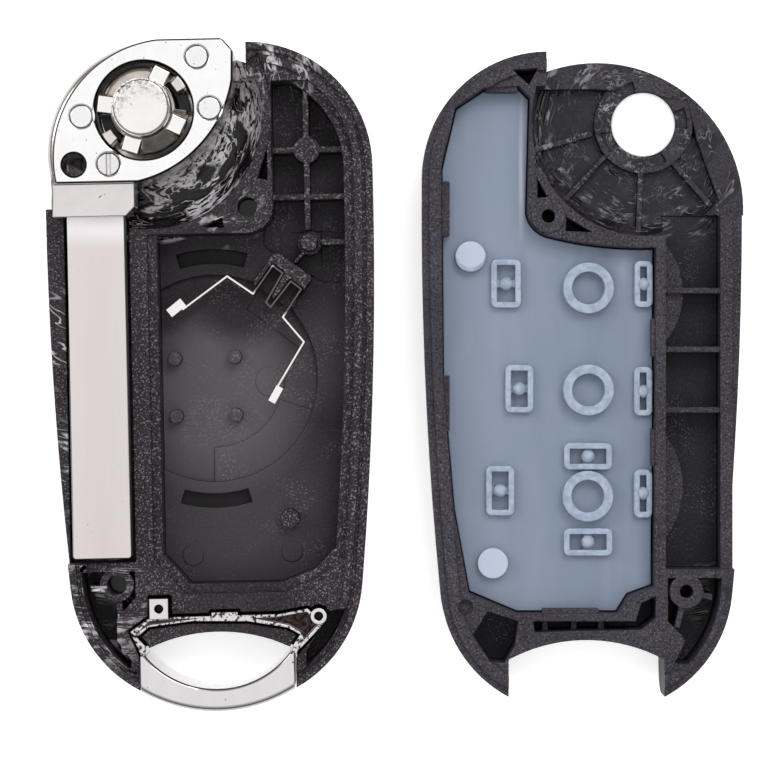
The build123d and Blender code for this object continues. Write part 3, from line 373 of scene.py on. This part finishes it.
def metal(name, colour, rough, speck_mm, speck_share, streak=(1, 1, 1), edge=0.0, tones_and_shade=None):
    """Plated or ground metal with dark specks, faint streaks and, if asked for, painted shade on rounded
    edges and further tones, among them painted reflection and painted shade.
    """
    made = Finish(name, Metallic=1.0)
    clouds = made.noise(4.0, 4.0, 0.6, made.stretched(streak))
    specks = made.span(made.noise(speck_mm, 2.0, 0.6), 0.64 + speck_share, 0.70 + speck_share)
    deeper = tuple(part * 0.9 for part in colour[:3]) + (1.0,)
    shade = made.mix(made.span(clouds, 0.3, 0.75), colour, deeper)
    if tones_and_shade is not None:
        shade = tones_and_shade(made, shade)
    # Painted shade on rounded edges, neither level nor upright, fainter near the rivets
    tilt = made.tilt()
    rounded = made.times(made.span(tilt, 0.05, 0.3), made.span(tilt, 0.995, 0.94))
    for place in RIVETS:
        near = made.distance(rear_place(*place))
        rounded = made.times(rounded, made.fade(near, RIVET_EDGE, RIVET_EDGE_SHADE, 1.0))
    shade = made.mix(made.times(rounded, edge), shade, SPECK_AND_EDGE_SHADE)
    made.set("Base Color", made.mix(specks, shade, SPECK_AND_EDGE_SHADE))
    made.set("Roughness", made.span(clouds, 0.3, 0.7, rough - 0.05, rough + 0.06))
    fine = made.noise(0.5, 4.0, 0.6, made.stretched(streak))
    made.set("Normal", made.bump(fine, 0.006, 0.6))
    return made.material


def button_reflection_and_mottle(made, shade):
    """Painted reflection in darker tan and grey tones on the conical skirt, and dark mottling along the
    far edge of the cap.
    """
    rise = made.axis("Z")
    # Painted reflection: the sloped skirt takes darker tan and grey tones
    slope = made.times(made.fade(rise, SKIRT_TOP), made.all_but(made.level()))
    shade = made.mix(slope, shade, made.mix(made.noise(1.2), srgb(138, 129, 122), srgb(216, 208, 200)))
    far = made.fade(made.distance(rear_place(*CAP_MIDDLE)), CAP_MOTTLE)
    mottle = made.span(made.noise(0.4, 4.0, 0.75), 0.53, 0.38)
    return made.mix(made.times(far, made.fade(rise, CAP_LOW), mottle), shade, srgb(74, 68, 62))


def loop_rust_and_hole_shade(made, shade):
    """Dark webs and stains in the frame of the key-ring end, and painted shade in the holes of its posts.
    """
    rise = made.axis("Z")
    web = made.times(made.between(rise, *WEB_HEIGHTS), made.level())
    stains = made.span(made.noise(0.45, 3.0, 0.7), 0.50, 0.58)
    stains = made.times(made.between(rise, *FRAME_HEIGHTS), stains)
    rust = made.mix(made.span(made.noise(0.5, 3.0, 0.7), 0.45, 0.62), srgb(30, 25, 25), srgb(72, 61, 58))
    shade = made.mix(made.most(web, stains), shade, rust)
    # Painted shade in the holes of the posts
    for post in LOOP_POSTS:
        hole = made.fade(made.distance(rear_place(*post)), POST_HOLE_R)
        shade = made.mix(made.times(hole, made.fade(rise, POST_HOLE_TOP)), shade, srgb(26, 24, 24))
    return shade


def blade_bright_end(made, shade):
    """A brighter end beside the collar."""
    return made.mix(made.fade(made.axis("Y"), BLADE_END), shade, srgb(235, 228, 230))


def contact_dark_at_holder(made, shade):
    """Darker metal around the holder, where the strip is held."""
    return made.mix(made.fade(made.distance(rear_place(*HOLDER)), HELD_R), shade, srgb(98, 92, 94))


def pad_silicone():
    """Translucent blue-grey silicone with faint upright streaks, painted light on its left side and a
    painted highlight along its arm.
    """
    made = Finish("pad_silicone", Specular_IOR_Level=0.35, Subsurface_Weight=0.3, Subsurface_Scale=0.0015)
    made.shader.inputs["Subsurface Radius"].default_value = (0.8, 1.0, 1.2)
    streaks = made.noise(2.6, 3.0, 0.5, made.stretched(UPRIGHT))
    clouds = made.noise(10.0, 3.0, 0.55)
    bands = made.noise(1.5, 2.0, 0.5, made.stretched(GROUND))
    shade = made.mix(made.span(streaks, 0.32, 0.68), srgb(118, 130, 151), srgb(140, 151, 170))
    shade = made.mix(made.span(clouds, 0.35, 0.7), shade, srgb(125, 137, 158))
    # Painted light: the pad's left side lighter
    lit_left = made.fade(made.axis("X"), PAD_LEFT)
    shade = made.mix(made.times(lit_left, 0.5), shade, srgb(141, 152, 170))

    arm = made.fade(made.axis("Y"), PAD_ARM)
    shade = made.mix(made.times(arm, made.span(bands, 0.4, 0.65, 0.25, 0.8)), shade, srgb(133, 147, 166))
    # Painted highlight: a light line along the arm's edge
    off_edge = made.apart(made.axis("X"), front_place(PAD_ARM_EDGE_U, 0)[0])
    arm_edge_highlight = made.times(made.fade(off_edge, PAD_ARM_EDGE), made.span(bands, 0.35, 0.55), arm)
    shade = made.mix(arm_edge_highlight, shade, srgb(180, 188, 201))

    raised = made.fade(made.axis("Z"), PAD_RAISED)
    ridge = made.mix(made.span(made.noise(0.9), 0.38, 0.62), srgb(146, 159, 179), srgb(170, 182, 200))
    shade = made.mix(raised, shade, ridge)
    for place in PAD_DISCS:
        disc = made.times(made.fade(made.distance(front_place(*place)), PAD_DISC_R), raised)
        shade = made.mix(disc, shade, srgb(186, 194, 213))
    made.set("Base Color", shade)
    made.set("Roughness", made.span(clouds, 0.3, 0.7, 0.34, 0.5))
    made.set("Normal", made.bump(made.noise(0.7, 3.0, 0.6), 0.01, 0.5))
    return made.material


def plain_plastic(name, colour, rough):
    """Plain moulded plastic with a fine grain."""
    made = Finish(name, Specular_IOR_Level=0.5)
    grain = made.noise(0.3, 3.0, 0.6)
    lighter = tuple(min(1.0, part * 1.35 + 0.004) for part in colour[:3]) + (1.0,)
    made.set("Base Color", made.mix(made.span(made.noise(4.0), 0.35, 0.65), colour, lighter))
    made.set("Roughness", made.span(grain, 0.3, 0.7, rough - 0.06, rough + 0.06))
    made.set("Normal", made.bump(grain, 0.012, 0.7))
    return made.material


# The look of each housing: the colours of its rims and floors and how much the rims sparkle with painted
# glints; for the grease the colour of its painted sheen, the pocket's radius, its dry share, and how much
# of it are bands and lines; and the greasy patches, the smooth patches with fewer painted glints, and the
# patches of painted light and shade, each a place with its radius or its inner and outer one
REAR_LOOK = {
    "pivot": rear_place(*PIVOT),
    "rim_low": srgb(38, 32, 38), "rim_high": srgb(47, 41, 47), "painted_glint_share": 0.62,
    "floor_low": srgb(24, 20, 24), "floor_high": srgb(42, 37, 42), "painted_sheen": srgb(214, 209, 213),
    "pocket_r": 15.5, "dry": 0.28, "bands": 0.54, "lines": 0.85,
    "greasy": [
        (rear_place(-16.0, -28.0), 9.0), (rear_place(-18.8, 5.0), 7.0), (rear_place(-18.4, -10.0), 7.0),
        (rear_place(2.0, 20.0), 5.0), (rear_place(8.0, 37.5), 7.0),
    ],
    "smooth": [(rear_place(3.0, -27.2), 8.0), (rear_place(-1.5, 16.5), 6.0)],
    # Painted light and shade on the floors
    "light": [
        (rear_place(0.3, -15.0), 7.0, 16.0, srgb(58, 52, 58)),
        (rear_place(14.0, 2.0), 3.0, 8.0, srgb(52, 47, 52)),
        (rear_place(0.0, -2.5), 6.5, 13.0, srgb(84, 79, 83)),
        (rear_place(3.2, 9.0), 3.0, 6.5, srgb(34, 30, 34)),
        (rear_place(-7.0, 9.5), 2.0, 5.0, srgb(36, 32, 36)),
    ],
}
FRONT_LOOK = {
    "pivot": front_place(-PIVOT[0], PIVOT[1]),
    "rim_low": srgb(50, 47, 53), "rim_high": srgb(62, 59, 68), "painted_glint_share": 0.28,
    "floor_low": srgb(20, 19, 27), "floor_high": srgb(34, 32, 42), "painted_sheen": srgb(134, 130, 142),
    "pocket_r": 14.4, "dry": 0.42, "bands": 0.66, "lines": 0.6,
    "greasy": [
        (front_place(2.0, 37.6), 4.0), (front_place(14.0, 20.5), 4.0), (front_place(16.0, -27.0), 7.0),
    ],
    "smooth": [(front_place(-16.5, 5.0), 9.0), (front_place(16.0, 30.0), 9.0)],
    # Painted light in the head pocket
    "light": [(front_place(7.0, 31.0), 6.0, 14.0, srgb(44, 42, 50))],
}
KEY_COLOUR = srgb(38, 37, 39)
# In the metals, edge is how strong the painted shade on rounded edges is; the last function adds tones,
# some of them painted shade
materials = {
    "rear_housing": shell_plastic("shell_rear", REAR_LOOK),
    "front_housing": shell_plastic("shell_front", FRONT_LOOK),
    "head_body": metal("head_chrome", srgb(224, 219, 218), 0.2, 0.7, 0.06, edge=0.4),
    "head_plate": metal("plate_chrome", srgb(255, 254, 254), 0.16, 0.4, 0.06, edge=1.0),
    "head_rivets": metal("rivet_chrome", srgb(246, 245, 246), 0.2, 0.5, 0.05, edge=0.2),
    "blade": metal(
        "blade_steel", srgb(221, 213, 213), 0.34, 0.4, 0.10, GROUND, edge=0.6, tones_and_shade=blade_bright_end
    ),
    "blade_pin": metal("pin_steel", srgb(232, 230, 230), 0.3, 0.5, 0.05, edge=0.3),
    "flip_spring": metal("spring_steel", srgb(150, 148, 150), 0.32, 0.5, 0.05),
    "release_button": metal(
        "button_chrome", srgb(250, 248, 245), 0.13, 0.9, 0.06, edge=0.3, tones_and_shade=button_reflection_and_mottle
    ),
    "button_bezel": metal("bezel_chrome", srgb(230, 230, 232), 0.16, 0.5, 0.06),
    "key_ring_loop": metal(
        "loop_chrome", srgb(226, 222, 224), 0.14, 0.8, 0.07, ALONG, edge=0.5, tones_and_shade=loop_rust_and_hole_shade
    ),
    "battery_contact": metal("contact_metal", srgb(246, 243, 240), 0.24, 0.5, 0.08, tones_and_shade=contact_dark_at_holder),
    "pivot_hub": plain_plastic("hub_plastic", srgb(16, 15, 16), 0.42),
    "button_pad": pad_silicone(),
    "key_top": plain_plastic("key_plastic_top", KEY_COLOUR, 0.5),
    "key_middle": plain_plastic("key_plastic_middle", KEY_COLOUR, 0.5),
    "key_bottom": plain_plastic("key_plastic_bottom", KEY_COLOUR, 0.5),
}

# How far each piece's edges are rounded
edge_rounds = {
    "rear_housing": 0.11, "front_housing": 0.11, "head_body": 0.15, "head_plate": 0.3,
    "head_rivets": 0.13, "blade": 0.12, "blade_pin": 0.12, "release_button": 0.12,
    "key_ring_loop": 0.10, "pivot_hub": 0.10, "button_bezel": 0.04, "button_pad": 0.12,
    "key_top": 0.2, "key_middle": 0.2, "key_bottom": 0.2,
}
body_of = {node: body for body, nodes in frame["record"]["behaviour"]["bodies"].items() for node in nodes}


def new_piece(name, data, node):
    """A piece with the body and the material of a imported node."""
    data.materials.clear()
    data.materials.append(materials[node])
    piece = bpy.data.objects.new(name, data)
    bpy.context.scene.collection.objects.link(piece)
    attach(piece, body_of[node])
    return piece


def level_normals(data):
    """Smooth shading in which each vertex leans towards the largest level area that it borders."""
    mesh = bmesh.new()
    mesh.from_mesh(data)
    mesh.faces.ensure_lookup_table()
    mesh.normal_update()
    area_of = {}
    for first in mesh.faces:
        if first in area_of:
            continue
        group, waiting, total = [], [first], 0.0
        area_of[first] = None
        while waiting:
            face = waiting.pop()
            group.append(face)
            total += face.calc_area()
            for edge in face.edges:
                for other in edge.link_faces:
                    if other not in area_of and other.normal.dot(face.normal) > LEVEL:
                        area_of[other] = None
                        waiting.append(other)
        shared = (total, len(area_of))
        for face in group:
            area_of[face] = shared
    normals = []
    for vertex in mesh.verts:
        leaning = Vector()
        seen = set()
        for face in vertex.link_faces:
            if area_of[face] not in seen:
                seen.add(area_of[face])
                leaning += face.normal * area_of[face][0]
        normals.append(leaning.normalized() if leaning.length > 1e-12 else vertex.normal.copy())
    mesh.free()
    for polygon in data.polygons:
        polygon.use_smooth = True
    data.normals_split_custom_set_from_vertices(normals)


def rounded_mesh(source, width):
    """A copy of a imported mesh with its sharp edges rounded, near its own surface."""
    mesh = bmesh.new()
    mesh.from_mesh(source.data)
    bmesh.ops.remove_doubles(mesh, verts=mesh.verts, dist=WELD * MM)
    surface = BVHTree.FromBMesh(mesh)
    data = bpy.data.meshes.new("welded")
    mesh.to_mesh(data)
    mesh.free()
    blank = bpy.data.objects.new("welded", data)
    bpy.context.scene.collection.objects.link(blank)
    bevel = blank.modifiers.new("edges", "BEVEL")
    bevel.width = width
    bevel.segments = ROUND_STEPS
    bevel.limit_method = "ANGLE"
    bevel.angle_limit = SHARP
    bevel.use_clamp_overlap = False
    bevel.loop_slide = False
    view = bpy.context.evaluated_depsgraph_get()
    rounded = bpy.data.meshes.new_from_object(blank.evaluated_get(view))
    bpy.data.objects.remove(blank)
    bpy.data.meshes.remove(data)
    for vertex in rounded.vertices:
        nearest, _, _, away = surface.find_nearest(vertex.co)
        if away > LEEWAY * width:
            vertex.co = nearest
    level_normals(rounded)
    return rounded


def dressed(node, width_mm):
    """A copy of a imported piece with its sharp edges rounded, which stands for it."""
    data = rounded_mesh(frame["nodes"][node], width_mm * MM)
    data.name = node + "_dressed"
    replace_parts(new_piece(node + "_dressed", data, node), node)


def pad_balls():
    """The small silicone balls in the windows of the pad's frames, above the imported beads."""
    ball = bmesh.new()
    for place in BALL_PLACES:
        middle = Matrix.Translation(front_place(*place, BALL_Z))
        bmesh.ops.create_uvsphere(ball, u_segments=32, v_segments=16, radius=BALL_R * MM, matrix=middle)
    for face in ball.faces:
        face.smooth = True
    data = bpy.data.meshes.new("pad_balls")
    ball.to_mesh(data)
    ball.free()
    new_piece("pad_balls", data, "button_pad")


def pressed_spring():
    """A copy of the spring, on a mesh of its own, which stands for it."""
    low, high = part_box("flip_spring")
    data = frame["nodes"]["flip_spring"].data.copy()
    data.name = "flip_spring_wire"
    piece = new_piece("flip_spring_wire", data, "flip_spring")
    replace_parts(piece, "flip_spring")
    anchor = (low + high) / 2
    anchor.z = low.z
    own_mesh(piece)


def white_floor():
    """A pale floor, white to the camera, with a soft shadow, and a painted shadow below the screw holes,
    where it does not glow.
    """
    made = Finish("floor_white", Roughness=0.9, Specular_IOR_Level=0.1)
    made.set("Base Color", made.mix(made.noise(60.0), srgb(246, 246, 246), srgb(250, 250, 250)))
    path = made.node("ShaderNodeLightPath")
    seen = made.most(path.outputs["Is Camera Ray"], path.outputs["Is Glossy Ray"])
    seen = made.most(seen, path.outputs["Is Transmission Ray"])
    # Painted shadow: no glow below the screw holes, so they look dark
    for hole in (BOSS_UPPER, BOSS_LOWER):
        seen = made.times(seen, made.fade(made.distance(rear_place(*hole)), HOLE_SHADE))
    upper_side = made.all_but(made.node("ShaderNodeNewGeometry").outputs["Backfacing"])
    made.set("Emission Strength", made.times(seen, upper_side, FLOOR_GLOW))
    made.shader.inputs["Emission Color"].default_value = (1, 1, 1, 1)
    bpy.ops.mesh.primitive_plane_add(size=FLOOR_SIZE, location=(0, 0, -FLOOR_DROP))
    floor = bpy.context.object
    floor.name = "floor"
    floor.data.materials.append(made.material)


def studio_light():
    """Soft light: a pale ceiling over darker walls, a large lamp above and a smaller one to the left."""
    world = bpy.data.worlds.new("studio")
    bpy.context.scene.world = world
    world.use_nodes = True
    nodes = world.node_tree.nodes
    link = world.node_tree.links.new
    back = nodes["Background"]
    back.inputs["Color"].default_value = (1, 1, 1, 1)
    path = nodes.new("ShaderNodeLightPath")
    direction = nodes.new("ShaderNodeTexCoord")
    parts = nodes.new("ShaderNodeSeparateXYZ")
    ceiling = nodes.new("ShaderNodeMapRange")
    ceiling.interpolation_type = "SMOOTHSTEP"
    for name, value in CEILING.items():
        ceiling.inputs[name].default_value = value
    seen, strength = nodes.new("ShaderNodeMath"), nodes.new("ShaderNodeMath")
    seen.operation = strength.operation = "MAXIMUM"
    link(path.outputs["Is Camera Ray"], seen.inputs[0])
    link(path.outputs["Is Transmission Ray"], seen.inputs[1])
    link(direction.outputs["Generated"], parts.inputs[0])
    link(parts.outputs["Z"], ceiling.inputs["Value"])
    link(seen.outputs[0], strength.inputs[0])
    link(ceiling.outputs["Result"], strength.inputs[1])
    link(strength.outputs[0], back.inputs["Strength"])
    for name, place, size, power in LAMPS:
        light = bpy.data.lights.new(name, "AREA")
        light.shape = "SQUARE"
        light.size = size
        light.energy = power
        lamp = bpy.data.objects.new(name, light)
        lamp.location = place
        lamp.rotation_mode = "QUATERNION"
        lamp.rotation_quaternion = Vector(place).to_track_quat("Z", "Y")
        bpy.context.scene.collection.objects.link(lamp)


def camera():
    """The camera above the middle of the photograph."""
    data = bpy.data.cameras.new("camera")
    data.sensor_fit = "HORIZONTAL"
    data.sensor_width = SENSOR
    data.lens = SENSOR * (VIEW_HEIGHT - FOCUS_HEIGHT) / VIEW_WIDTH
    data.clip_start, data.clip_end = CLIP
    seat = bpy.data.objects.new("camera", data)
    seat.location = (VIEW_CENTRE[0] * MM, VIEW_CENTRE[1] * MM, VIEW_HEIGHT * MM)
    bpy.context.scene.collection.objects.link(seat)
    bpy.context.scene.camera = seat


camera()
white_floor()
studio_light()
for node, part in frame["nodes"].items():
    part.data.materials.clear()
    part.data.materials.append(materials[node])
for node, width_mm in edge_rounds.items():
    dressed(node, width_mm)
pad_balls()
pressed_spring()
bpy.context.scene.view_settings.view_transform = "Standard"
